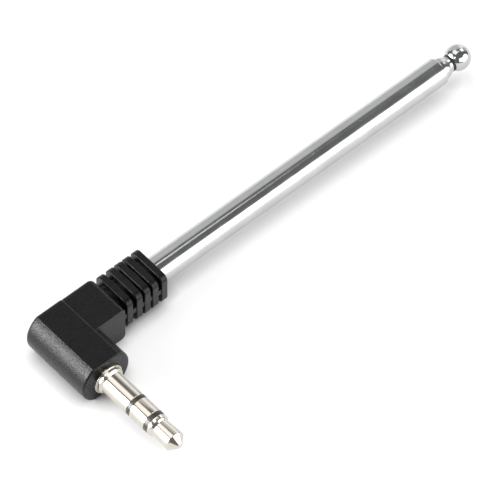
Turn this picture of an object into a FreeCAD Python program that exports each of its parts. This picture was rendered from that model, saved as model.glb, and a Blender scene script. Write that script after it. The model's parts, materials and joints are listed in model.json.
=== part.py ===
import FreeCAD, Part
import math
import os
import re

import Sketcher

# A telescopic whip antenna on a moulded right-angle 3.5 mm stereo plug.
# +X runs along the antenna, the plug points along -Y and +Z is up as the part lies on a table.
# The origin is the centre of the plug's seating shoulder, where it meets the socket's face.

# Driving dimensions in millimetres, and angles in degrees.
DIMENSIONS = {
    "arm_length": 10.0,  # antenna axis to seating shoulder
    "full_turn": 360.0,
    # moulded head round the plug
    "head_radius": 4.05,
    "head_flat": 3.45,  # half height between the top and bottom flats
    "head_front": 1.15,
    "head_back": 13.13,
    "head_back_round": 0.6,
    "head_front_round": 0.3,
    # moulded block round the antenna's foot
    "block_front": 6.2,
    "block_end": 7.75,
    "block_half_height": 3.3,
    "block_end_round": 0.8,
    # ribbed strain relief
    "relief_end": 15.75,
    "relief_half_width": 3.25,
    "relief_half_height": 2.8,
    "relief_corner": 1.05,
    "rib_width": 1.02,
    "edge_round": 0.1,
    "rib_1_start": 8.6,
    "rib_2_start": 10.3,
    "rib_3_start": 11.73,
    "rib_4_start": 13.13,
    "core_radius": 2.38,
    "web_half": 0.48,
    "web_reach": 3.12,
    # plug, measured along its axis from the shoulder, outwards
    "contact_radius": 1.75,
    "sleeve_end": 4.75,
    "ring_start": 5.4,
    "ring_end": 8.2,
    "tip_start": 8.95,
    "tip_collar_end": 9.5,
    "tip_collar_radius": 1.64,
    "tip_neck": 9.8,
    "tip_neck_radius": 1.38,
    "tip_shoulder": 12.65,
    "tip_shoulder_radius": 1.54,
    "plug_length": 13.8,
    "tip_nose_radius": 0.45,
    "flange_radius": 2.33,
    "flange_front": 0.67,  # behind the shoulder, as are all the depths below
    "flange_depth": 1.9,
    "step_radius": 2.1,
    "step_depth": 0.25,
    "sleeve_depth": 2.4,
    "sleeve_root_radius": 2.0,
    # nested tubes of the plug
    "tip_rod_radius": 0.5,
    "tip_insulator_radius": 0.75,
    "ring_tube_radius": 1.05,
    "ring_insulator_radius": 1.35,
    "rivet_lip": 0.2,
    "rivet_height": 0.2,
    "tip_rivet_radius": 0.85,
    "tip_rivet_height": 0.3,
    # solder lugs and their washers
    "lug_thickness": 0.3,
    "lug_width": 1.2,
    "washer_thickness": 0.6,
    "sleeve_lug_radius": 2.2,
    "sleeve_lug_tail": 3.0,
    "ring_lug_radius": 1.75,
    "ring_lug_tail": 2.6,
    "ring_washer_radius": 1.7,
    "tip_lug_radius": 1.3,
    "tip_lug_tail": 3.4,
    "tip_washer_radius": 1.3,
    # inner mould that locks the lugs
    "inner_mould_radius": 2.9,
    "inner_mould_end": 6.4,
    # lead from the tip lug to the antenna's foot
    "lead_core_radius": 0.2,
    "lead_insulation_radius": 0.42,
    "lead_strip": 0.7,
    "solder_radius": 0.48,
    "solder_film": 0.06,
    # telescopic antenna, measured along +X from the plug's axis
    "foot_tail_start": -1.7,
    "foot_tail_radius": 0.8,
    "foot_collar_start": 0.4,
    "tube_1_start": 1.0,
    "foot_end": 5.0,
    "tube_1_end": 68.35,
    "tube_1_radius": 2.05,
    "tube_1_bore": 1.8,
    "tube_1_round": 0.25,
    "tube_2_start": 5.3,
    "tube_2_end": 69.7,
    "tube_2_radius": 1.65,
    "tube_2_bore": 1.45,
    "tube_2_nose": 1.42,
    "tube_3_start": 9.0,
    "tube_3_end": 70.2,
    "tube_3_radius": 1.33,
    "tube_3_bore": 1.13,
    "tube_3_nose": 1.25,
    "rod_4_start": 12.7,
    "rod_4_end": 71.6,
    "rod_4_radius": 0.95,
    "mouth_lip": 0.8,
    "nose_length": 0.7,
    "slide_gap": 0.03,  # running clearance on the radius
    "neck_depth": 0.2,
    "foot_flange": 0.35,
    "bush_gap": 0.06,
    "bush_length": 2.6,
    "bush_wrap": 335.0,  # a split sleeve: this much of a turn
    # buffer ring and knob on the last section
    "buffer_start": 70.25,
    "buffer_radius": 1.3,
    "knob_start": 70.58,
    "knob_centre": 71.97,
    "knob_radius": 1.92,
}

ON_ANTENNA = "antenna"
ON_PLUG = "plug"
HORIZONTAL_AXIS, VERTICAL_AXIS = -1, -2
FIRST_POINT, SECOND_POINT, CENTRE_POINT = 1, 2, 3

doc = FreeCAD.newDocument("plug_in_antenna")
sheet = doc.addObject("Spreadsheet::Sheet", "sizes")
for row, (alias, value) in enumerate(DIMENSIONS.items(), start=1):
    sheet.set(f"A{row}", alias)
    sheet.set(f"B{row}", str(value))
    sheet.setAlias(f"B{row}", alias)
doc.recompute()


def number(expression):
    """The present value of an expression over the sheet's aliases."""
    return float(sheet.evalExpression(expression))


def bound(expression):
    """The expression as another object writes it, with each alias read from the sheet."""
    return re.sub(r"[a-z]\w*", lambda word: f"{sheet.Name}.{word.group()}", expression)


def new_sketch(body, name, plane, offset="0"):
    """A sketch on one of the body's own origin planes, moved along the plane's normal."""
    sketch = body.newObject("Sketcher::SketchObject", name)
    support = next(f for f in body.Origin.OriginFeatures if f.Role == plane)
    sketch.AttachmentSupport = (support, [""])
    sketch.MapMode = "FlatFace"
    sketch.setExpression("AttachmentOffset.Base.z", bound(offset))
    return sketch


def tie(sketch, direction, line, expression):
    """Drives one coordinate of a line's first point from the sheet."""
    value = number(expression)
    if abs(value) < 1e-9:
        axis = VERTICAL_AXIS if direction == "X" else HORIZONTAL_AXIS
        sketch.addConstraint(Sketcher.Constraint("PointOnObject", line, FIRST_POINT, axis))
        return
    origin, corner = (HORIZONTAL_AXIS, FIRST_POINT), (line, FIRST_POINT)
    ends = origin + corner if value > 0 else corner + origin
    index = sketch.addConstraint(Sketcher.Constraint("Distance" + direction, *ends, abs(value)))
    signed = expression if value > 0 else f"-({expression})"
    sketch.setExpression(f"Constraints[{index}]", bound(signed))


def draw_outline(sketch, outline):
    """A closed outline of straight lines, each corner a pair of expressions."""
    corners = [FreeCAD.Vector(number(across), number(up), 0) for across, up in outline]
    first = sketch.GeometryCount
    count = len(corners)
    for i in range(count):
        sketch.addGeometry(Part.LineSegment(corners[i], corners[(i + 1) % count]))
    for i in range(count):
        following = first + (i + 1) % count
        sketch.addConstraint(
            Sketcher.Constraint("Coincident", first + i, SECOND_POINT, following, FIRST_POINT)
        )
    for i, (across, up) in enumerate(outline):
        tie(sketch, "X", first + i, across)
        tie(sketch, "Y", first + i, up)


def draw_circle(sketch, radius):
    """A circle about the sketch's origin."""
    circle = Part.Circle(FreeCAD.Vector(0, 0, 0), FreeCAD.Vector(0, 0, 1), number(radius))
    line = sketch.addGeometry(circle)
    sketch.addConstraint(
        Sketcher.Constraint("Coincident", line, CENTRE_POINT, HORIZONTAL_AXIS, FIRST_POINT)
    )
    size = sketch.addConstraint(Sketcher.Constraint("Radius", line, number(radius)))
    sketch.setExpression(f"Constraints[{size}]", bound(radius))


def rectangle(left, right, low, high):
    """Corners of an upright rectangle."""
    return [(left, low), (right, low), (right, high), (left, high)]


def new_body(label, axis):
    """A body whose own X axis is the antenna's or points out of the plug."""
    body = doc.addObject("PartDesign::Body", label)
    if axis == ON_PLUG:
        body.Placement.Rotation = FreeCAD.Rotation(FreeCAD.Vector(0, 0, 1), -90)
    else:
        body.setExpression("Placement.Base.y", bound("arm_length"))
    return body


def turned(label, axis, outline, angle="full_turn"):
    """A turned piece: corners of (along the axis, radius), revolved about the axis."""
    body = new_body(label, axis)
    sketch = new_sketch(body, label + "_outline", "XY_Plane")
    draw_outline(sketch, outline)
    revolution = body.newObject("PartDesign::Revolution", label + "_turned")
    revolution.Profile = sketch
    revolution.ReferenceAxis = (sketch, ["H_Axis"])
    revolution.setExpression("Angle", bound(angle))
    doc.recompute()
    return body


def padded(body, sketch, name, length, reverse=False):
    """Pads a sketch along its plane's normal."""
    pad = body.newObject("PartDesign::Pad", name)
    pad.Profile = sketch
    pad.Reversed = reverse
    pad.setExpression("Length", bound(length))
    doc.recompute()
    return pad


def fillet_edges(body, name, radius, wanted):
    """Rounds the edges of the body's last feature that meet a condition."""
    base = body.Tip
    fillet = body.newObject("PartDesign::Fillet", name)
    edges = enumerate(base.Shape.Edges, start=1)
    fillet.Base = (base, [f"Edge{i}" for i, edge in edges if wanted(edge, edge.CenterOfMass)])
    fillet.setExpression("Radius", bound(radius))
    doc.recompute()


def near(a, b):
    """True for two lengths that are the same to a micrometre."""
    return abs(a - b) < 1e-3


def cut(label, base, tools):
    """The base with every tool's shape taken out, one after the other."""
    for tool in tools:
        name = label if tool is tools[-1] else f"{label}_less_{tool.Name}"
        result = doc.addObject("Part::Cut", name)
        result.Base, result.Tool = base, tool
        base = result
    doc.recompute()
    return base


def place(obj, x, y, z):
    """Drives an object's position from the sheet."""
    for letter, expression in zip("xyz", (x, y, z)):
        obj.setExpression(f"Placement.Base.{letter}", bound(expression))


# ---------------------------------------------------------------- plug contacts


def make_plug_sleeve():
    """Ground contact: barrel, step, seating flange and a root that the mould grips."""
    return turned("plug_sleeve", ON_PLUG, [
        ("sleeve_end", "ring_insulator_radius"),
        ("sleeve_end", "contact_radius"),
        ("0", "contact_radius"),
        ("-step_depth", "step_radius"),
        ("-flange_front", "step_radius"),
        ("-flange_front", "flange_radius"),
        ("-flange_depth", "flange_radius"),
        ("-flange_depth", "sleeve_root_radius"),
        ("-sleeve_depth", "sleeve_root_radius"),
        ("-sleeve_depth", "ring_insulator_radius"),
    ])


def make_ring_insulator():
    """Collar between sleeve and ring, on a tube that lines the sleeve's bore."""
    return turned("ring_insulator", ON_PLUG, [
        ("ring_start", "ring_tube_radius"),
        ("ring_start", "contact_radius"),
        ("sleeve_end", "contact_radius"),
        ("sleeve_end", "ring_insulator_radius"),
        ("-sleeve_depth - lug_thickness", "ring_insulator_radius"),
        ("-sleeve_depth - lug_thickness", "ring_tube_radius"),
    ])


RING_LUG_BACK = "sleeve_depth + 2 * lug_thickness + washer_thickness"


def make_plug_ring():
    """Ring contact on a tube that is riveted over the ring lug."""
    lip = "ring_tube_radius + rivet_lip"
    return turned("plug_ring", ON_PLUG, [
        ("ring_end", "tip_insulator_radius"),
        ("ring_end", "contact_radius"),
        ("ring_start", "contact_radius"),
        ("ring_start", "ring_tube_radius"),
        (f"-({RING_LUG_BACK})", "ring_tube_radius"),
        (f"-({RING_LUG_BACK})", lip),
        (f"-({RING_LUG_BACK} + rivet_height)", lip),
        (f"-({RING_LUG_BACK} + rivet_height)", "tip_insulator_radius"),
    ])


TIP_LUG_FRONT = f"{RING_LUG_BACK} + rivet_height + washer_thickness"


def make_tip_insulator():
    """Collar between ring and tip, on a tube that lines the ring's bore."""
    return turned("tip_insulator", ON_PLUG, [
        ("tip_start", "tip_rod_radius"),
        ("tip_start", "contact_radius"),
        ("ring_end", "contact_radius"),
        ("ring_end", "tip_insulator_radius"),
        (f"-({TIP_LUG_FRONT})", "tip_insulator_radius"),
        (f"-({TIP_LUG_FRONT})", "tip_rod_radius"),
    ])


def make_plug_tip():
    """Tip contact with its waist and nose, on a rod that is riveted over the tip lug."""
    lug_back = f"{TIP_LUG_FRONT} + lug_thickness"
    return turned("plug_tip", ON_PLUG, [
        ("plug_length", "0"),
        ("plug_length - 0.1", "tip_nose_radius"),
        ("tip_shoulder", "tip_shoulder_radius"),
        ("tip_neck", "tip_neck_radius"),
        ("tip_collar_end", "tip_collar_radius"),
        ("tip_start", "contact_radius"),
        ("tip_start", "tip_rod_radius"),
        (f"-({lug_back})", "tip_rod_radius"),
        (f"-({lug_back})", "tip_rivet_radius"),
        (f"-({lug_back} + tip_rivet_height)", "tip_rivet_radius"),
        (f"-({lug_back} + tip_rivet_height)", "0"),
    ])


# ---------------------------------------------------------------- lugs and washers


def make_lug(label, front, radius, hole, tail, turn):
    """A stamped lug: a disc on the contact's tube, with a tail bent back for solder."""
    body = new_body(label, ON_PLUG)
    body.Placement.Rotation = body.Placement.Rotation.multiply(
        FreeCAD.Rotation(FreeCAD.Vector(1, 0, 0), turn)
    )
    disc = new_sketch(body, label + "_disc", "XY_Plane")
    draw_outline(disc, [
        (f"-({front})", hole),
        (f"-({front})", radius),
        (f"-({front} + lug_thickness)", radius),
        (f"-({front} + lug_thickness)", hole),
    ])
    revolution = body.newObject("PartDesign::Revolution", label + "_turned")
    revolution.Profile = disc
    revolution.ReferenceAxis = (disc, ["H_Axis"])
    tail_sketch = new_sketch(body, label + "_tail", "XZ_Plane", f"-({radius} - lug_thickness)")
    draw_outline(tail_sketch, rectangle(
        f"-({front} + {tail})", f"-({front})", "-lug_width / 2", "lug_width / 2"
    ))
    padded(body, tail_sketch, label + "_tail_pad", "lug_thickness", reverse=True)
    return body


def make_washer(label, front, radius, hole):
    """An insulating washer between two lugs."""
    return turned(label, ON_PLUG, [
        (f"-({front})", hole),
        (f"-({front})", radius),
        (f"-({front} + washer_thickness)", radius),
        (f"-({front} + washer_thickness)", hole),
    ])


# ---------------------------------------------------------------- telescopic antenna


def make_antenna_foot():
    """Solid foot pressed into the outer tube, with a tail for the lead."""
    return turned("antenna_foot", ON_ANTENNA, [
        ("foot_tail_start", "0"),
        ("foot_tail_start", "foot_tail_radius"),
        ("foot_collar_start", "foot_tail_radius"),
        ("foot_collar_start", "tube_1_radius"),
        ("tube_1_start", "tube_1_radius"),
        ("tube_1_start", "tube_1_bore"),
        ("foot_end", "tube_1_bore"),
        ("foot_end", "0"),
    ])


def make_tube_1():
    """Outer section: its mouth is rolled in to hold the next section's bush."""
    body = turned("tube_1", ON_ANTENNA, [
        ("tube_1_start", "tube_1_bore"),
        ("tube_1_end - mouth_lip", "tube_1_bore"),
        ("tube_1_end - mouth_lip", "tube_2_radius + slide_gap"),
        ("tube_1_end", "tube_2_radius + slide_gap"),
        ("tube_1_end", "tube_1_radius"),
        ("tube_1_start", "tube_1_radius"),
    ])
    rim, radius = number("tube_1_end"), number("tube_1_radius")
    fillet_edges(body, "tube_1_rim", "tube_1_round",
                 lambda edge, p: near(p.x, rim) and near(edge.Length, 2 * math.pi * radius))
    return body


def necked_foot(start, radius):
    """Outline of a section's lower end: a flange, a neck for the bush and a shoulder."""
    return [
        (start, radius),
        (f"{start} + foot_flange", radius),
        (f"{start} + foot_flange", f"{radius} - neck_depth"),
        (f"{start} + foot_flange + bush_gap + bush_length", f"{radius} - neck_depth"),
        (f"{start} + foot_flange + bush_gap + bush_length", radius),
    ]


def make_tube(label, inner_radius):
    """A middle section: necked at its foot for its own bush, and nosed in at its mouth."""
    start, end, radius = f"{label}_start", f"{label}_end", f"{label}_radius"
    bore, nose = f"{label}_bore", f"{label}_nose"
    neck_end = f"{start} + foot_flange + bush_gap + bush_length"
    neck_bore = f"{bore} - neck_depth"
    mouth = f"{inner_radius} + slide_gap"
    return turned(label, ON_ANTENNA, [
        *necked_foot(start, radius),
        (f"{end} - nose_length", radius),
        (end, nose),
        (end, mouth),
        (f"{end} - mouth_lip", mouth),
        (f"{end} - mouth_lip", bore),
        (f"{neck_end} + neck_depth", bore),
        (f"{neck_end} + neck_depth", neck_bore),
        (start, neck_bore),
    ])


def make_rod_4():
    """The innermost section, a solid rod with the same necked foot."""
    return turned("rod_4", ON_ANTENNA, [
        ("rod_4_start", "0"),
        *necked_foot("rod_4_start", "rod_4_radius"),
        ("rod_4_end", "rod_4_radius"),
        ("rod_4_end", "0"),
    ])


def make_bush(label, section, bore):
    """A split spring sleeve in a section's neck, which rubs on the tube outside it."""
    start = f"{section}_start + foot_flange + bush_gap / 2"
    inner = f"{section}_radius - neck_depth + slide_gap"
    outer = f"{bore} - slide_gap"
    end = f"{start} + bush_length"
    return turned(label, ON_ANTENNA, [(start, inner), (start, outer), (end, outer), (end, inner)],
                  "bush_wrap")


def make_knob(rod):
    """Ball knob, faced off square behind and pressed on the rod's end."""
    ball = doc.addObject("Part::Sphere", "knob_ball")
    ball.setExpression("Radius", bound("knob_radius"))
    place(ball, "knob_centre", "arm_length", "0")
    facing = turned("knob_facing", ON_ANTENNA, [
        ("knob_centre - 2 * knob_radius", "0"),
        ("knob_centre - 2 * knob_radius", "2 * knob_radius"),
        ("knob_start", "2 * knob_radius"),
        ("knob_start", "0"),
    ])
    return cut("knob", ball, [facing, rod])


def make_buffer_ring():
    """Black ring on the rod, against the knob: it softens the stop when the whip is closed."""
    return turned("buffer_ring", ON_ANTENNA, [
        ("buffer_start", "rod_4_radius"),
        ("buffer_start", "buffer_radius"),
        ("knob_start", "buffer_radius"),
        ("knob_start", "rod_4_radius"),
    ])


# ---------------------------------------------------------------- lead and solder


def lead_path():
    """The lead's ends and its middle: from the tip lug's tail up over the foot's tail."""
    lug_top = number("tip_lug_radius + solder_film + lead_core_radius")
    tail_end = number(f"{TIP_LUG_FRONT} + tip_lug_tail")
    foot_top = number("foot_tail_radius + solder_film + lead_core_radius")
    start = FreeCAD.Vector(0, tail_end - number("lead_strip"), lug_top)
    end = FreeCAD.Vector(number("foot_tail_start") + 0.8, number("arm_length"), foot_top)
    middle = (start + end) / 2 + FreeCAD.Vector(-0.2, 0, 0.35)
    return start, middle, end


def swept_ring(label, outer, inner, first, last):
    """A tube or, with no inner radius, a rod along part of the lead's arc."""
    arc = Part.Arc(*lead_path())
    low, span = arc.FirstParameter, arc.LastParameter - arc.FirstParameter
    start, end = low + first * span, low + last * span
    spine = Part.Wire([arc.toShape(start, end)])
    centre, heading = arc.value(start), arc.tangent(start)[0]
    shape = Part.Wire([Part.Circle(centre, heading, outer).toShape()])
    solid = spine.makePipe(Part.Face(shape))
    if inner:
        hole = Part.Wire([Part.Circle(centre, heading, inner).toShape()])
        solid = solid.cut(spine.makePipe(Part.Face(hole)))
    feature = doc.addObject("Part::Feature", label)
    feature.Shape = solid.Solids[0]
    return feature


def make_solder(label, centre, pieces):
    """A bead of solder round the lead's bare end, on the metal that it joins."""
    bead = doc.addObject("Part::Sphere", label + "_bead")
    bead.setExpression("Radius", bound("solder_radius"))
    bead.Placement.Base = centre
    return cut(label, bead, pieces)


# ---------------------------------------------------------------- mouldings


def make_inner_mould(pieces):
    """Hard inner moulding that locks the plug's root, lugs and washers together."""
    plain = turned("inner_mould_outside", ON_PLUG, [
        ("-flange_depth", "0"),
        ("-flange_depth", "inner_mould_radius"),
        ("-inner_mould_end", "inner_mould_radius"),
        ("-inner_mould_end", "0"),
    ])
    return cut("inner_mould", plain, pieces)


def make_plug_room():
    """The room that the plug's root and its inner mould fill in the housing."""
    return turned("plug_room", ON_PLUG, [
        ("0", "0"),
        ("0", "flange_radius"),
        ("-flange_depth", "flange_radius"),
        ("-flange_depth", "inner_mould_radius"),
        ("-inner_mould_end", "inner_mould_radius"),
        ("-inner_mould_end", "0"),
    ])


def make_antenna_room():
    """The room that the outer tube and its foot fill in the housing."""
    return turned("antenna_room", ON_ANTENNA, [
        ("foot_tail_start", "0"),
        ("foot_tail_start", "foot_tail_radius"),
        ("foot_collar_start", "foot_tail_radius"),
        ("foot_collar_start", "tube_1_radius"),
        ("relief_end + 1", "tube_1_radius"),
        ("relief_end + 1", "0"),
    ])


def make_head():
    """Round moulded head on the plug's axis, with flats above and below."""
    body = doc.addObject("PartDesign::Body", "head")
    sketch = new_sketch(body, "head_section", "XZ_Plane", "-head_back")
    radius, flat = number("head_radius"), number("head_flat")
    half = (radius**2 - flat**2) ** 0.5
    centre, up = FreeCAD.Vector(0, 0, 0), FreeCAD.Vector(0, 0, 1)
    circle = Part.Circle(centre, up, radius)
    flat_angle = FreeCAD.Vector(half, flat, 0).getAngle(FreeCAD.Vector(1, 0, 0))
    half_turn = FreeCAD.Vector(-1, 0, 0).getAngle(FreeCAD.Vector(1, 0, 0))
    sketch.addGeometry(Part.ArcOfCircle(circle, -flat_angle, flat_angle))
    sketch.addGeometry(Part.LineSegment(
        FreeCAD.Vector(half, flat, 0), FreeCAD.Vector(-half, flat, 0)
    ))
    sketch.addGeometry(Part.ArcOfCircle(circle, half_turn - flat_angle, half_turn + flat_angle))
    sketch.addGeometry(Part.LineSegment(
        FreeCAD.Vector(-half, -flat, 0), FreeCAD.Vector(half, -flat, 0)
    ))
    for line in range(4):
        following = (line + 1) % 4
        sketch.addConstraint(
            Sketcher.Constraint("Coincident", line, SECOND_POINT, following, FIRST_POINT)
        )
    for arc in (0, 2):
        sketch.addConstraint(
            Sketcher.Constraint("Coincident", arc, CENTRE_POINT, HORIZONTAL_AXIS, FIRST_POINT)
        )
    size = sketch.addConstraint(Sketcher.Constraint("Radius", 0, radius))
    sketch.setExpression(f"Constraints[{size}]", bound("head_radius"))
    for line, height in ((1, "head_flat"), (3, "-head_flat")):
        sketch.addConstraint(Sketcher.Constraint("Horizontal", line))
        tie(sketch, "Y", line, height)
    padded(body, sketch, "head_pad", "head_back - head_front")
    fillet_edges(body, "head_back_edge", "head_back_round", lambda _, p: near(p.y, number("head_back")))
    fillet_edges(body, "head_front_edge", "head_front_round",
                 lambda _, p: near(p.y, number("head_front")))
    return body


def make_block():
    """Moulded block from the head to the strain relief, round the antenna's foot."""
    body = doc.addObject("PartDesign::Body", "block")
    sketch = new_sketch(body, "block_section", "YZ_Plane")
    draw_outline(sketch, rectangle(
        "block_front", "head_back", "-block_half_height", "block_half_height"
    ))
    padded(body, sketch, "block_pad", "block_end")
    back, height = number("head_back"), number("block_half_height")
    fillet_edges(body, "block_back_edge", "head_back_round",
                 lambda _, p: near(p.y, back) and near(abs(p.z), height))
    fillet_edges(body, "block_low_corner", "block_end_round",
                 lambda _, p: near(p.x, number("block_end")) and near(p.z, -height))
    end, front = number("block_end"), number("block_front")
    fillet_edges(body, "block_edges", "edge_round",
                 lambda _, p: near(p.x, end) or near(p.y, front) and p.x > end / 4)
    return body


def make_relief():
    """Strain relief round the outer tube: five ribs on a round core with side webs."""
    body = new_body("relief", ON_ANTENNA)
    length = "relief_end - rib_width / 2 - block_end / 2"
    core = new_sketch(body, "relief_core", "YZ_Plane", "block_end / 2")
    draw_circle(core, "core_radius")
    padded(body, core, "relief_core_pad", length)
    webs = new_sketch(body, "relief_webs", "YZ_Plane", "block_end / 2")
    draw_outline(webs, rectangle("-web_reach", "web_reach", "-web_half", "web_half"))
    padded(body, webs, "relief_webs_pad", length)
    starts = [f"rib_{i}_start" for i in range(1, 5)] + ["relief_end - rib_width"]
    for i, start in enumerate(starts, start=1):
        rib = new_sketch(body, f"rib_{i}_section", "YZ_Plane", start)
        draw_outline(rib, rectangle(
            "-relief_half_width", "relief_half_width", "-relief_half_height", "relief_half_height"
        ))
        padded(body, rib, f"rib_{i}", "rib_width")
    width, height = number("relief_half_width"), number("relief_half_height")
    fillet_edges(body, "rib_corners", "relief_corner",
                 lambda _, p: near(abs(p.y), width) and near(abs(p.z), height))
    faces = [number(start) for start in starts] + [number(f"{s} + rib_width") for s in starts]
    arc = math.pi / 2 * number("relief_corner")
    fillet_edges(body, "rib_edges", "edge_round",
                 lambda edge, p: any(near(p.x, face) for face in faces)
                 and (near(abs(p.y), width) or near(abs(p.z), height) or near(edge.Length, arc)))
    return body


def make_housing(cavity):
    """The soft outer moulding: head, block and strain relief in one piece."""
    outside = doc.addObject("Part::MultiFuse", "housing_outside")
    outside.Shapes = [make_head(), make_block(), make_relief()]
    outside.Refine = True
    doc.recompute()
    return cut("housing", outside, cavity)


# ---------------------------------------------------------------- assembly


def check_document():
    """Stops if any object of the document failed to compute."""
    failed = [o.Label for o in doc.Objects if {"Invalid", "Error"} & set(o.State)]
    if failed:
        raise RuntimeError(f"failed objects: {failed}")


def export(pieces):
    """Writes each piece to its own STEP file, once all of them are sound."""
    for piece in pieces:
        shape = piece.Shape
        if shape.isNull() or not shape.isValid() or len(shape.Solids) != 1:
            raise RuntimeError(f"{piece.Label} is not one valid solid")
    os.makedirs("parts", exist_ok=True)
    for piece in pieces:
        piece.Shape.exportStep(f"parts/{piece.Label}.step")
        print(f"{piece.Label:18s} {piece.Shape.Volume:9.3f} mm3")


def main():
    sleeve = make_plug_sleeve()
    ring_insulator = make_ring_insulator()
    ring = make_plug_ring()
    tip_insulator = make_tip_insulator()
    tip = make_plug_tip()

    ring_lug_front = "sleeve_depth + lug_thickness + washer_thickness"
    ring_lug_back = RING_LUG_BACK
    sleeve_lug = make_lug("sleeve_lug", "sleeve_depth", "sleeve_lug_radius",
                          "ring_insulator_radius", "sleeve_lug_tail", 0)
    ring_washer = make_washer("ring_lug_washer", "sleeve_depth + lug_thickness",
                              "ring_washer_radius", "ring_tube_radius")
    ring_lug = make_lug("ring_lug", ring_lug_front, "ring_lug_radius",
                        "ring_tube_radius", "ring_lug_tail", 180)
    tip_washer = make_washer("tip_lug_washer", f"{ring_lug_back} + rivet_height",
                             "tip_washer_radius", "tip_insulator_radius")
    tip_lug = make_lug("tip_lug", TIP_LUG_FRONT, "tip_lug_radius",
                       "tip_rod_radius", "tip_lug_tail", 90)
    plug_pieces = [sleeve, ring_insulator, ring, tip_insulator, tip,
                   sleeve_lug, ring_washer, ring_lug, tip_washer, tip_lug]

    foot = make_antenna_foot()
    tube_1 = make_tube_1()
    tube_2 = make_tube("tube_2", "tube_3_radius")
    tube_3 = make_tube("tube_3", "rod_4_radius")
    rod_4 = make_rod_4()
    bushes = [
        make_bush("bush_2", "tube_2", "tube_1_bore"),
        make_bush("bush_3", "tube_3", "tube_2_bore"),
        make_bush("bush_4", "rod_4", "tube_3_bore"),
    ]
    knob = make_knob(rod_4)
    buffer_ring = make_buffer_ring()

    core_radius = number("lead_core_radius")
    core = swept_ring("lead_core", core_radius, 0, 0, 1)
    insulation = swept_ring("lead_insulation", number("lead_insulation_radius"),
                            core_radius, 0.26, 0.8)
    start, _, end = lead_path()
    tip_solder = make_solder("tip_lug_solder", start, [tip_lug, core])
    foot_solder = make_solder("foot_solder", end, [foot, core])

    inner_mould = make_inner_mould(plug_pieces)
    housing = make_housing([make_plug_room(), make_antenna_room(), tip_lug, core, insulation,
                            tip_solder, foot_solder])

    check_document()
    export([housing, inner_mould, *plug_pieces, core, insulation, tip_solder, foot_solder,
            foot, tube_1, bushes[0], tube_2, bushes[1], tube_3, bushes[2], rod_4,
            buffer_ring, knob])


main()
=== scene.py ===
import json
import math

import bmesh
import bpy
from mathutils import Matrix, Vector


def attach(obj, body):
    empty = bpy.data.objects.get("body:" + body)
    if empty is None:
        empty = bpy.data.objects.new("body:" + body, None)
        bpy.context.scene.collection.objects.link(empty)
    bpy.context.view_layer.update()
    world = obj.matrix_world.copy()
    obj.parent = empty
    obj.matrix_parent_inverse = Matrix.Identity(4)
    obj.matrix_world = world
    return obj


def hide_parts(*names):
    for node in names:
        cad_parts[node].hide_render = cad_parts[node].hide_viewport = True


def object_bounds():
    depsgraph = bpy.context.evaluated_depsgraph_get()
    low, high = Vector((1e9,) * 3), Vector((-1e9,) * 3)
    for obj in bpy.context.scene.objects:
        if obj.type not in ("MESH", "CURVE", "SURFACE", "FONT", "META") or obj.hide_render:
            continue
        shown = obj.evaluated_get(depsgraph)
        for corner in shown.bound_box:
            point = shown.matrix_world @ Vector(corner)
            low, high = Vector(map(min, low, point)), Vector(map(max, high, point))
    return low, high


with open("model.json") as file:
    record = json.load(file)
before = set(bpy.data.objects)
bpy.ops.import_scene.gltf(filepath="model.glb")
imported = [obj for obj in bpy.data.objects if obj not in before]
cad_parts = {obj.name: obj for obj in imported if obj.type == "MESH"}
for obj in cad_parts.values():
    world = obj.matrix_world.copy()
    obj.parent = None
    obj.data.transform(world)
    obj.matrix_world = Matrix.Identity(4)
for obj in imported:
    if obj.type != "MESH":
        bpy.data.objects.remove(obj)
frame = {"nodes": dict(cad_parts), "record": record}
CAD_LOW, CAD_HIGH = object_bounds()

# Sizes are in millimetres, and MM turns them into the frame's metres.
MM = 0.001
ARM_LENGTH = 10.0  # from the plug's shoulder to the antenna's axis

# ---------------------------------------------------------------- camera
# The view looks down on the part from the plug's side, through a long lens.
AIM = Vector((0.0, ARM_LENGTH * MM, 0.0))  # where the antenna's axis meets the plug's
VIEW_TURN = math.radians(-42.3)
VIEW_HEIGHT = math.radians(53.63)
VIEW_ROLL = math.radians(0.86)
VIEW_DISTANCE = 800 * MM
AIM_OFFSET = (23.66 * MM, 12.89 * MM)  # picture centre, right of and above the aim point
FOCAL_LENGTH = 448.4
SENSOR_WIDTH = 36.0
FAR_CLIP = 20.0  # metres


def make_camera():
    """The camera, turned, raised and rolled about the aim point."""
    turn, height, roll = VIEW_TURN, VIEW_HEIGHT, VIEW_ROLL
    away = math.cos(height)
    back = Vector((math.sin(turn) * away, -math.cos(turn) * away, math.sin(height)))
    level = Vector((math.cos(turn), math.sin(turn), 0.0))
    upright = back.cross(level)
    right = math.cos(roll) * level + math.sin(roll) * upright
    up = -math.sin(roll) * level + math.cos(roll) * upright
    camera = bpy.data.objects.new("camera", bpy.data.cameras.new("camera"))
    bpy.context.scene.collection.objects.link(camera)
    place = AIM + back * VIEW_DISTANCE + right * AIM_OFFSET[0] + up * AIM_OFFSET[1]
    axes = Matrix((right, up, back)).transposed().to_4x4()
    camera.matrix_world = Matrix.Translation(place) @ axes
    camera.data.lens = FOCAL_LENGTH
    camera.data.sensor_width = SENSOR_WIDTH
    camera.data.clip_end = FAR_CLIP
    bpy.context.scene.camera = camera


# ---------------------------------------------------------------- node helpers
SHELTER_SAMPLES = 8
BEVEL_SAMPLES = 6


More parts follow.
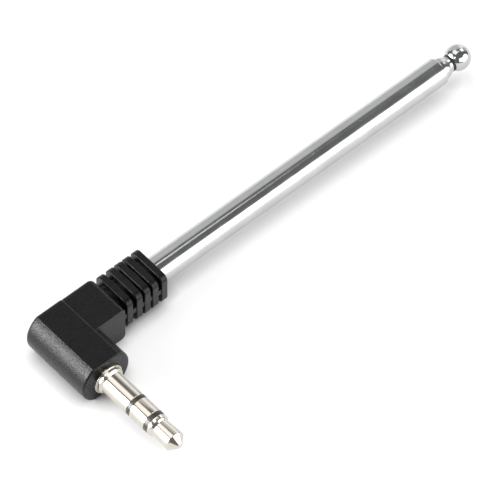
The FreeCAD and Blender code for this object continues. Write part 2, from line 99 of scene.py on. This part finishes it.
class Look:
    """A principled material with a few helpers for its procedural detail."""

    def __init__(self, name, color, roughness, metallic=0.0, **sockets):
        self.material = bpy.data.materials.new(name)
        self.material.use_nodes = True
        self.material.diffuse_color = (*color, 1.0)
        self.tree = self.material.node_tree
        self.shader = self.tree.nodes["Principled BSDF"]
        self.place = self.node("ShaderNodeTexCoord").outputs["Object"]
        self.set("Base Color", (*color, 1.0))
        self.set("Roughness", roughness)
        self.set("Metallic", metallic)
        for socket, value in sockets.items():
            self.set(socket.replace("_", " "), value)

    def node(self, kind, **settings):
        """A new node of a kind, with its settings."""
        made = self.tree.nodes.new(kind)
        for name, value in settings.items():
            setattr(made, name, value)
        return made

    def link(self, source, target):
        """Joins an output to an input."""
        self.tree.links.new(source, target)

    def set(self, socket, value):
        """Gives one of the shader's sockets a plain value."""
        self.shader.inputs[socket].default_value = value

    def noise(self, size, detail=3.0, stretch=(1, 1, 1), rough=0.5):
        """Noise with features of a given size in metres, stretched along the axes."""
        mapping = self.node("ShaderNodeMapping")
        mapping.inputs["Scale"].default_value = [1 / (size * s) for s in stretch]
        self.link(self.place, mapping.inputs["Vector"])
        texture = self.node("ShaderNodeTexNoise")
        texture.inputs["Scale"].default_value = 1.0
        texture.inputs["Detail"].default_value = detail
        texture.inputs["Roughness"].default_value = rough
        self.link(mapping.outputs["Vector"], texture.inputs["Vector"])
        return texture.outputs["Fac"]

    def openness(self, reach):
        """Near 1 on open surfaces, falling where other surfaces stand within a reach."""
        shelter = self.node("ShaderNodeAmbientOcclusion", samples=SHELTER_SAMPLES)
        shelter.inputs["Distance"].default_value = reach
        return shelter.outputs["AO"]

    def spread(self, source, low, high, start=0.3, end=0.7):
        """A source between start and end, spread over low to high."""
        remap = self.node("ShaderNodeMapRange")
        remap.inputs["From Min"].default_value = start
        remap.inputs["From Max"].default_value = end
        remap.inputs["To Min"].default_value = low
        remap.inputs["To Max"].default_value = high
        self.link(source, remap.inputs["Value"])
        return remap.outputs["Result"]

    def tint(self, source, first, second):
        """A colour between two, each a colour or an output, by a source from 0 to 1."""
        mix = self.node("ShaderNodeMix", data_type="RGBA")
        inputs = [socket for socket in mix.inputs if socket.type == "RGBA"]
        for socket, color in zip(inputs, (first, second)):
            if isinstance(color, tuple):
                socket.default_value = (*color, 1.0)
            else:
                self.link(color, socket)
        self.link(source, mix.inputs["Factor"])
        return next(socket for socket in mix.outputs if socket.type == "RGBA")

    def feed(self, socket, source):
        """Drives one of the shader's sockets with an output."""
        self.link(source, self.shader.inputs[socket])

    def relief(self, *layers, edge=0.0):
        """Bumps the surface by (source, height in metres) layers, over softened edges."""
        normal = None
        if edge:
            bevel = self.node("ShaderNodeBevel", samples=BEVEL_SAMPLES)
            bevel.inputs["Radius"].default_value = edge
            normal = bevel.outputs["Normal"]
        for source, height in layers:
            bump = self.node("ShaderNodeBump")
            bump.inputs["Strength"].default_value = 1.0
            bump.inputs["Distance"].default_value = height
            self.link(source, bump.inputs["Height"])
            if normal:
                self.link(normal, bump.inputs["Normal"])
            normal = bump.outputs["Normal"]
        self.link(normal, self.shader.inputs["Normal"])


# ---------------------------------------------------------------- materials
PVC_BLACK = (0.005, 0.005, 0.0052)
PVC_RUBBED = (0.003, 0.003, 0.0032)
PVC_SQUARE_GLOSS = (0.12, 0.12, 0.12, 1.0)  # dull where seen square, glossy at a glance
CHROME = (0.56, 0.565, 0.57)
GRIME_AND_SHADE_REACH = 0.4 * MM  # painted shade and grime darken metal where surfaces stand closer than this
GRIME_AND_PAINTED_SHADE = (0.03, 0.028, 0.025)
LINE_STRETCH = {  # how the marks of drawing or turning are stretched along each axis
    "X": (60, 1, 1),
    "Y": (1, 60, 1),
    "round X": (1, 60, 60),
    "round Y": (60, 1, 60),
}


def moulding_look():
    """Black PVC with a fine spark-eroded grain, a little darker where it is rubbed."""
    look = Look("moulding", PVC_BLACK, 0.35, IOR=2.0)
    look.set("Specular Tint", PVC_SQUARE_GLOSS)
    grain = look.noise(0.2 * MM, detail=2.0, rough=0.7)
    wave = look.noise(1.6 * MM, detail=1.0)
    rubs = look.noise(0.7 * MM, detail=5.0, stretch=(1.6, 1, 1), rough=0.65)
    look.feed("Roughness", look.spread(grain, 0.2, 0.45, start=0.35, end=0.65))
    look.feed("Base Color", look.tint(look.spread(rubs, 0, 1), PVC_RUBBED, PVC_BLACK))
    look.relief((grain, 0.045 * MM), (wave, 0.02 * MM), edge=0.08 * MM)
    return look.material


def plain_plastic_look(name, color, roughness):
    """Moulded plastic, fibre or rubber with a faint mottle in colour and gloss."""
    look = Look(name, color, roughness)
    mottle = look.noise(0.6 * MM, detail=3.0)
    darker = tuple(0.8 * c for c in color)
    look.feed("Base Color", look.tint(look.spread(mottle, 0, 1), darker, color))
    look.feed("Roughness", look.spread(mottle, roughness * 0.85, roughness * 1.15))
    look.relief((look.noise(0.15 * MM), 0.002 * MM), edge=0.03 * MM)
    return look.material


def drawn_metal_look(name, color, roughness, along, line_depth=0.0006, wave_depth=0.006):
    """Plated metal with fine lines left by drawing or turning, faint handling marks, and painted
    shade with grime darkening its crevices.
    """
    look = Look(name, color, roughness, metallic=1.0)
    lines = look.noise(0.05 * MM, detail=2.0, stretch=LINE_STRETCH[along])
    streaks = look.noise(0.7 * MM, detail=3.0, stretch=LINE_STRETCH[along])
    smudge = look.noise(3.0 * MM, detail=4.0, rough=0.6)
    look.feed("Roughness", look.spread(smudge, roughness * 0.75, roughness * 1.35))
    dull = tuple(0.9 * c for c in color)
    plating = look.tint(look.spread(smudge, 0, 1), dull, color)
    # painted shade and grime: the base colour darkens where other surfaces stand close, in crevices
    # and gaps
    clear_of_grime_and_shade = look.spread(look.openness(GRIME_AND_SHADE_REACH), 0, 1, start=0.3, end=0.75)
    look.feed("Base Color", look.tint(clear_of_grime_and_shade, GRIME_AND_PAINTED_SHADE, plating))
    look.relief((lines, line_depth * MM), (streaks, wave_depth * MM))
    return look.material


# Each slot's colour and roughness, and for metal the way its lines run and their depths.
PLASTICS = {
    "inner_mould": ((0.05, 0.05, 0.055), 0.5),
    "plug_insulator": ((0.022, 0.019, 0.012), 0.34),
    "lug_washer": ((0.62, 0.55, 0.42), 0.7),
    "lead_insulation": ((0.5, 0.02, 0.015), 0.4),
    "buffer_rubber": ((0.004, 0.004, 0.004), 0.6),
}
METALS = {
    "plug_nickel": ((0.63, 0.59, 0.525), 0.14, "round Y"),
    "lug_tin": ((0.72, 0.72, 0.7), 0.3, "Y"),
    "lead_copper": ((0.85, 0.48, 0.3), 0.25, "Y"),
    "solder": ((0.7, 0.71, 0.72), 0.22, "X"),
    "foot_brass": ((0.82, 0.62, 0.3), 0.25, "round X"),
    "bush_brass": ((0.8, 0.6, 0.3), 0.28, "X"),
    "tube_chrome": (CHROME, 0.15, "X", 0.0006, 0.012),
    "knob_chrome": (CHROME, 0.07, "round X", 0.0002, 0.04),
}
MATERIALS = {"moulding": moulding_look()}
for slot, finish in PLASTICS.items():
    MATERIALS[slot] = plain_plastic_look(slot, *finish)
for slot, finish in METALS.items():
    MATERIALS[slot] = drawn_metal_look(slot, *finish)
SLOT_OF = {part["node"]: part["material_slot"] for part in frame["record"]["subparts"]}


def dress(piece, slot):
    """Gives a piece its slot's material and nothing else."""
    piece.data.materials.clear()
    piece.data.materials.append(MATERIALS[slot])


# ---------------------------------------------------------------- turned pieces
# A profile is a list of (distance along the axis, radius). The plug's runs down -Y from its
# shoulder, and the antenna's along +X from the plug's axis.
CORNER_STEPS = 5
TURN_STEPS = 192
BALL_STEPS = 48


def softened(profile, closed, radius):
    """The profile with every corner off the axis rounded to about a radius."""
    points = [Vector(p) for p in profile]
    count = len(points)
    result = []
    for i, corner in enumerate(points):
        at_end = not closed and i in (0, count - 1)
        if at_end or corner[1] == 0:
            result.append(corner)
            continue
        before, after = points[i - 1], points[(i + 1) % count]
        toward_before, toward_after = before - corner, after - corner
        room = 0.45 * min(toward_before.length, toward_after.length, radius / 0.45)
        start = corner + toward_before.normalized() * room
        end = corner + toward_after.normalized() * room
        for step in range(CORNER_STEPS + 1):
            t = step / CORNER_STEPS
            result.append((1 - t) ** 2 * start + 2 * t * (1 - t) * corner + t**2 * end)
    return result


def lathe(name, profile, node, body, on_antenna, closed=False, corner=0.05):
    """A piece turned about the antenna's axis or the plug's, in place of a CAD node."""
    points = softened(profile, closed, corner)
    mesh_data = bpy.data.meshes.new(name)
    mesh = bmesh.new()
    rings = []
    for along, radius in points:
        ring = []
        for step in range(TURN_STEPS if radius > 1e-9 else 1):
            angle = 2 * math.pi * step / TURN_STEPS
            across, up = radius * math.cos(angle), radius * math.sin(angle)
            spot = (along, ARM_LENGTH + across, up) if on_antenna else (across, -along, up)
            ring.append(mesh.verts.new(Vector(spot) * MM))
        rings.append(ring)
    pairs = list(zip(rings, rings[1:] + rings[:1] if closed else rings[1:]))
    for ring, other in pairs:
        for step in range(TURN_STEPS):
            after = (step + 1) % TURN_STEPS
            corners = [ring[step % len(ring)], ring[after % len(ring)],
                       other[after % len(other)], other[step % len(other)]]
            mesh.faces.new(list(dict.fromkeys(corners)))
    bmesh.ops.recalc_face_normals(mesh, faces=mesh.faces)
    for face in mesh.faces:
        face.smooth = True
    mesh.to_mesh(mesh_data)
    mesh.free()
    piece = bpy.data.objects.new(name, mesh_data)
    bpy.context.scene.collection.objects.link(piece)
    weighted = piece.modifiers.new("weighted", "WEIGHTED_NORMAL")
    weighted.keep_sharp = True
    slot = SLOT_OF[node]
    dress(piece, slot)
    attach(piece, body)
    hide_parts(node)
    return piece


# The plug: where its contacts meet its insulators, and the radii of its nested tubes.
BARREL = 1.75
SLEEVE_END, RING_START, RING_END, TIP_START, TIP_END = 4.75, 5.4, 8.2, 8.95, 13.8
SLEEVE_BORE, RING_STEM, RING_BORE, TIP_STEM = 1.35, 1.05, 0.75, 0.5


def make_plug():
    """The plug's three contacts and the two insulating collars between them."""
    lathe("sleeve_contact", [
        (SLEEVE_END, SLEEVE_BORE), (SLEEVE_END, BARREL), (0.0, BARREL), (-0.25, 2.1),
        (-0.67, 2.1), (-0.67, 2.33), (-1.9, 2.33), (-1.9, 2.0), (-2.4, 2.0),
        (-2.4, SLEEVE_BORE),
    ], "plug_sleeve", "base", False, closed=True, corner=0.06)
    lathe("ring_collar", [
        (RING_START, RING_STEM), (RING_START, 1.73), (SLEEVE_END, 1.73),
        (SLEEVE_END, SLEEVE_BORE), (-2.7, SLEEVE_BORE), (-2.7, RING_STEM),
    ], "ring_insulator", "base", False, closed=True, corner=0.04)
    lathe("ring_contact", [
        (RING_END, RING_BORE), (RING_END, BARREL), (RING_START, BARREL),
        (RING_START, RING_STEM), (-3.6, RING_STEM), (-3.6, 1.25), (-3.8, 1.25),
        (-3.8, RING_BORE),
    ], "plug_ring", "base", False, closed=True, corner=0.06)
    lathe("tip_collar", [
        (TIP_START, TIP_STEM), (TIP_START, 1.72), (RING_END, 1.72), (RING_END, RING_BORE),
        (-4.4, RING_BORE), (-4.4, TIP_STEM),
    ], "tip_insulator", "base", False, closed=True, corner=0.04)
    lathe("tip_contact", [
        (TIP_END, 0.0), (13.7, 0.45), (12.65, 1.54), (9.8, 1.38), (9.5, 1.64),
        (TIP_START, BARREL), (TIP_START, TIP_STEM), (-4.7, TIP_STEM), (-4.7, 0.85),
        (-5.0, 0.85), (-5.0, 0.0),
    ], "plug_tip", "base", False, corner=0.08)


# Each moving section has, from its inner end, a lip, a groove for its bush, and its wall.
LIP_LENGTH = 0.35
GROOVE_END = 3.01
WALL_START = 3.21
NOSE_LENGTH = 0.7
MOUTH_LENGTH = 0.8
ROD_RADIUS = 0.95
ROD_END = 71.6


def moving_tube(start, end, outer, bore, neck_bore, nose, mouth):
    """The profile of a moving tube: neck with its groove, wall, and drawn-in nose."""
    return [
        (start, neck_bore), (start, outer), (start + LIP_LENGTH, outer),
        (start + LIP_LENGTH, bore), (start + GROOVE_END, bore), (start + GROOVE_END, outer),
        (end - NOSE_LENGTH, outer), (end, nose), (end, mouth), (end - MOUTH_LENGTH, mouth),
        (end - MOUTH_LENGTH, bore), (start + WALL_START, bore), (start + WALL_START, neck_bore),
    ]


def make_sections():
    """The four telescopic sections, each in its own place inside the last."""
    lathe("outer_tube", [
        (1.0, 1.8), (67.55, 1.8), (67.55, 1.68), (68.35, 1.68), (68.35, 2.05), (1.0, 2.05),
    ], "tube_1", "base", True, closed=True, corner=0.22)
    lathe("second_tube", moving_tube(5.3, 69.7, 1.65, 1.45, 1.25, 1.42, 1.36),
          "tube_2", "section_2", True, closed=True, corner=0.1)
    lathe("third_tube", moving_tube(9.0, 70.2, 1.33, 1.13, 0.93, 1.25, 0.98),
          "tube_3", "section_3", True, closed=True, corner=0.08)
    rod_start, groove = 12.7, 0.75
    lathe("inner_rod", [
        (rod_start, 0.0), (rod_start, ROD_RADIUS), (rod_start + LIP_LENGTH, ROD_RADIUS),
        (rod_start + LIP_LENGTH, groove), (rod_start + GROOVE_END, groove),
        (rod_start + GROOVE_END, ROD_RADIUS), (ROD_END, ROD_RADIUS), (ROD_END, 0.0),
    ], "rod_4", "section_4", True, corner=0.06)


DARK_RING_START = 70.25
DARK_RING_RADIUS = 1.28
KNOB_FACE = 70.58  # the flat behind the ball
KNOB_MIDDLE = 71.97
KNOB_RADIUS = 1.9


def make_knob():
    """A near-black ring between the third tube and the ball, and the ball knob, faced off square
    behind and bored.
    """
    # a near-black ring 0.33 mm long around the rod, just behind the ball
    lathe("buffer", [
        (DARK_RING_START, ROD_RADIUS), (KNOB_FACE, ROD_RADIUS), (KNOB_FACE, DARK_RING_RADIUS),
        (DARK_RING_START, DARK_RING_RADIUS),
    ], "buffer_ring", "section_4", True, closed=True, corner=0.04)
    shoulder = math.acos((KNOB_FACE - KNOB_MIDDLE) / KNOB_RADIUS)
    ball = []
    for step in range(BALL_STEPS + 1):
        angle = shoulder * step / BALL_STEPS
        ball.append((KNOB_MIDDLE + KNOB_RADIUS * math.cos(angle), KNOB_RADIUS * math.sin(angle)))
    lathe("ball_knob", [*ball, (KNOB_FACE, ROD_RADIUS), (ROD_END, ROD_RADIUS), (ROD_END, 0.0)],
          "knob", "section_4", True, corner=0.05)


# ---------------------------------------------------------------- studio
DOME_BASE = 0.2
DOME_PANELS = [  # direction, brightness, degrees it is full inside, degrees it is gone outside
    ((0.50, -0.84, 0.20), 4.0, 22, 34),  # white panel, front right
    ((-0.83, 0.44, 0.31), 24.0, 11, 26),  # bright panel, back left
    ((-0.15, 0.42, 0.89), 1.5, 12, 23),  # soft box overhead, towards the back
    ((0.45, 0.85, 0.25), 0.6, 38, 42),  # pale wall, back right
    ((0.93, 0.32, 0.20), 0.6, 15, 30),  # pale wall, right
]
STRIP_TARGET = (38, 42, 0)
STRIP_HEIGHT = 300
STRIP_LENGTH, STRIP_WIDTH = 250, 30
STRIP_LEVEL = 2.1
KNOB_CENTRE = (72, 10, 0)
KNOB_LAMP_DISTANCE = 130
KNOB_LAMP_LEVEL = 2.5
KNOB_LAMPS = [  # name, direction and size
    ("right_lamp", (0.68, 0.08, 0.72), 50),
    ("left_lamp", (-0.74, -0.14, 0.65), 35),
    ("front_lamp", (-0.17, -0.88, 0.42), 75),
]
FLOOR_LEVEL = CAD_LOW[2]
FLOOR_REACH = 6.0  # metres from the middle to each side
FLOOR_GREY = (0.3, 0.3, 0.3)
FLOOR_GLOW = 0.7  # the table is a light box: its glow is faded where the part stands over it, a painted shadow
PAINTED_SHADOW_REACH = 3 * MM
PAINTED_SHADOW_RANGE = (0.25, 0.9)


def make_world():
    """A studio dome: dim all round, with soft panels that each add their own light."""
    world = bpy.data.worlds.new("studio")
    bpy.context.scene.world = world
    world.use_nodes = True
    tree = world.node_tree
    background = tree.nodes["Background"]
    heading = tree.nodes.new("ShaderNodeTexCoord").outputs["Generated"]
    total = None
    for direction, level, inner, outer in DOME_PANELS:
        dot = tree.nodes.new("ShaderNodeVectorMath")
        dot.operation = "DOT_PRODUCT"
        dot.inputs[1].default_value = Vector(direction).normalized()
        tree.links.new(heading, dot.inputs[0])
        fade = tree.nodes.new("ShaderNodeMapRange")
        fade.interpolation_type = "SMOOTHSTEP"
        fade.inputs["From Min"].default_value = math.cos(math.radians(outer))
        fade.inputs["From Max"].default_value = math.cos(math.radians(inner))
        fade.inputs["To Max"].default_value = level
        tree.links.new(dot.outputs["Value"], fade.inputs["Value"])
        if total is None:
            total = fade.outputs["Result"]
            continue
        add = tree.nodes.new("ShaderNodeMath")
        tree.links.new(total, add.inputs[0])
        tree.links.new(fade.outputs["Result"], add.inputs[1])
        total = add.outputs["Value"]
    base = tree.nodes.new("ShaderNodeMath")
    base.inputs[1].default_value = DOME_BASE
    tree.links.new(total, base.inputs[0])
    tree.links.new(base.outputs["Value"], background.inputs["Strength"])
    background.inputs["Color"].default_value = (1.0, 1.0, 1.0, 1.0)


def make_lamp(name, target, direction, distance, width, depth, radiance):
    """An area lamp that faces a target on the part from a direction, unseen itself."""
    lamp = bpy.data.lights.new(name, "AREA")
    lamp.shape = "RECTANGLE"
    lamp.size, lamp.size_y = width * MM, depth * MM
    lamp.energy = radiance * math.pi * lamp.size * lamp.size_y
    piece = bpy.data.objects.new(name, lamp)
    toward = Vector(direction).normalized()
    piece.location = (Vector(target) + toward * distance) * MM
    piece.rotation_euler = toward.to_track_quat("Z", "Y").to_euler()
    piece.visible_camera = False
    bpy.context.scene.collection.objects.link(piece)


def make_lamps():
    """A strip high over the antenna, and three small lamps near its far end."""
    overhead = (0, 0, 1)
    make_lamp("strip", STRIP_TARGET, overhead, STRIP_HEIGHT, STRIP_LENGTH, STRIP_WIDTH, STRIP_LEVEL)
    for name, direction, size in KNOB_LAMPS:
        make_lamp(name, KNOB_CENTRE, direction, KNOB_LAMP_DISTANCE, size, size, KNOB_LAMP_LEVEL)


def make_floor():
    """A pale table top, level under the part's lowest point, with a painted shadow in its glow near
    the part.
    """
    floor_mesh = bpy.data.meshes.new("floor")
    mesh = bmesh.new()
    bmesh.ops.create_grid(mesh, x_segments=1, y_segments=1, size=FLOOR_REACH)
    mesh.to_mesh(floor_mesh)
    mesh.free()
    floor = bpy.data.objects.new("floor", floor_mesh)
    floor.location.z = FLOOR_LEVEL
    bpy.context.scene.collection.objects.link(floor)
    look = Look("table_white", FLOOR_GREY, 0.8)
    look.set("Emission Color", (1.0, 1.0, 1.0, 1.0))
    # painted shadow: the glow fades with the occlusion under and around the part
    glow = look.spread(look.openness(PAINTED_SHADOW_REACH), 0.0, FLOOR_GLOW, *PAINTED_SHADOW_RANGE)
    look.feed("Emission Strength", glow)
    look.relief((look.noise(1.0 * MM), 0.002 * MM))
    floor.data.materials.append(look.material)


# ---------------------------------------------------------------- the scene
make_camera()
make_plug()
make_sections()
make_knob()
for node, cad_piece in frame["nodes"].items():
    dress(cad_piece, SLOT_OF[node])
make_world()
make_lamps()
make_floor()
bpy.context.scene.view_settings.view_transform = "Standard"
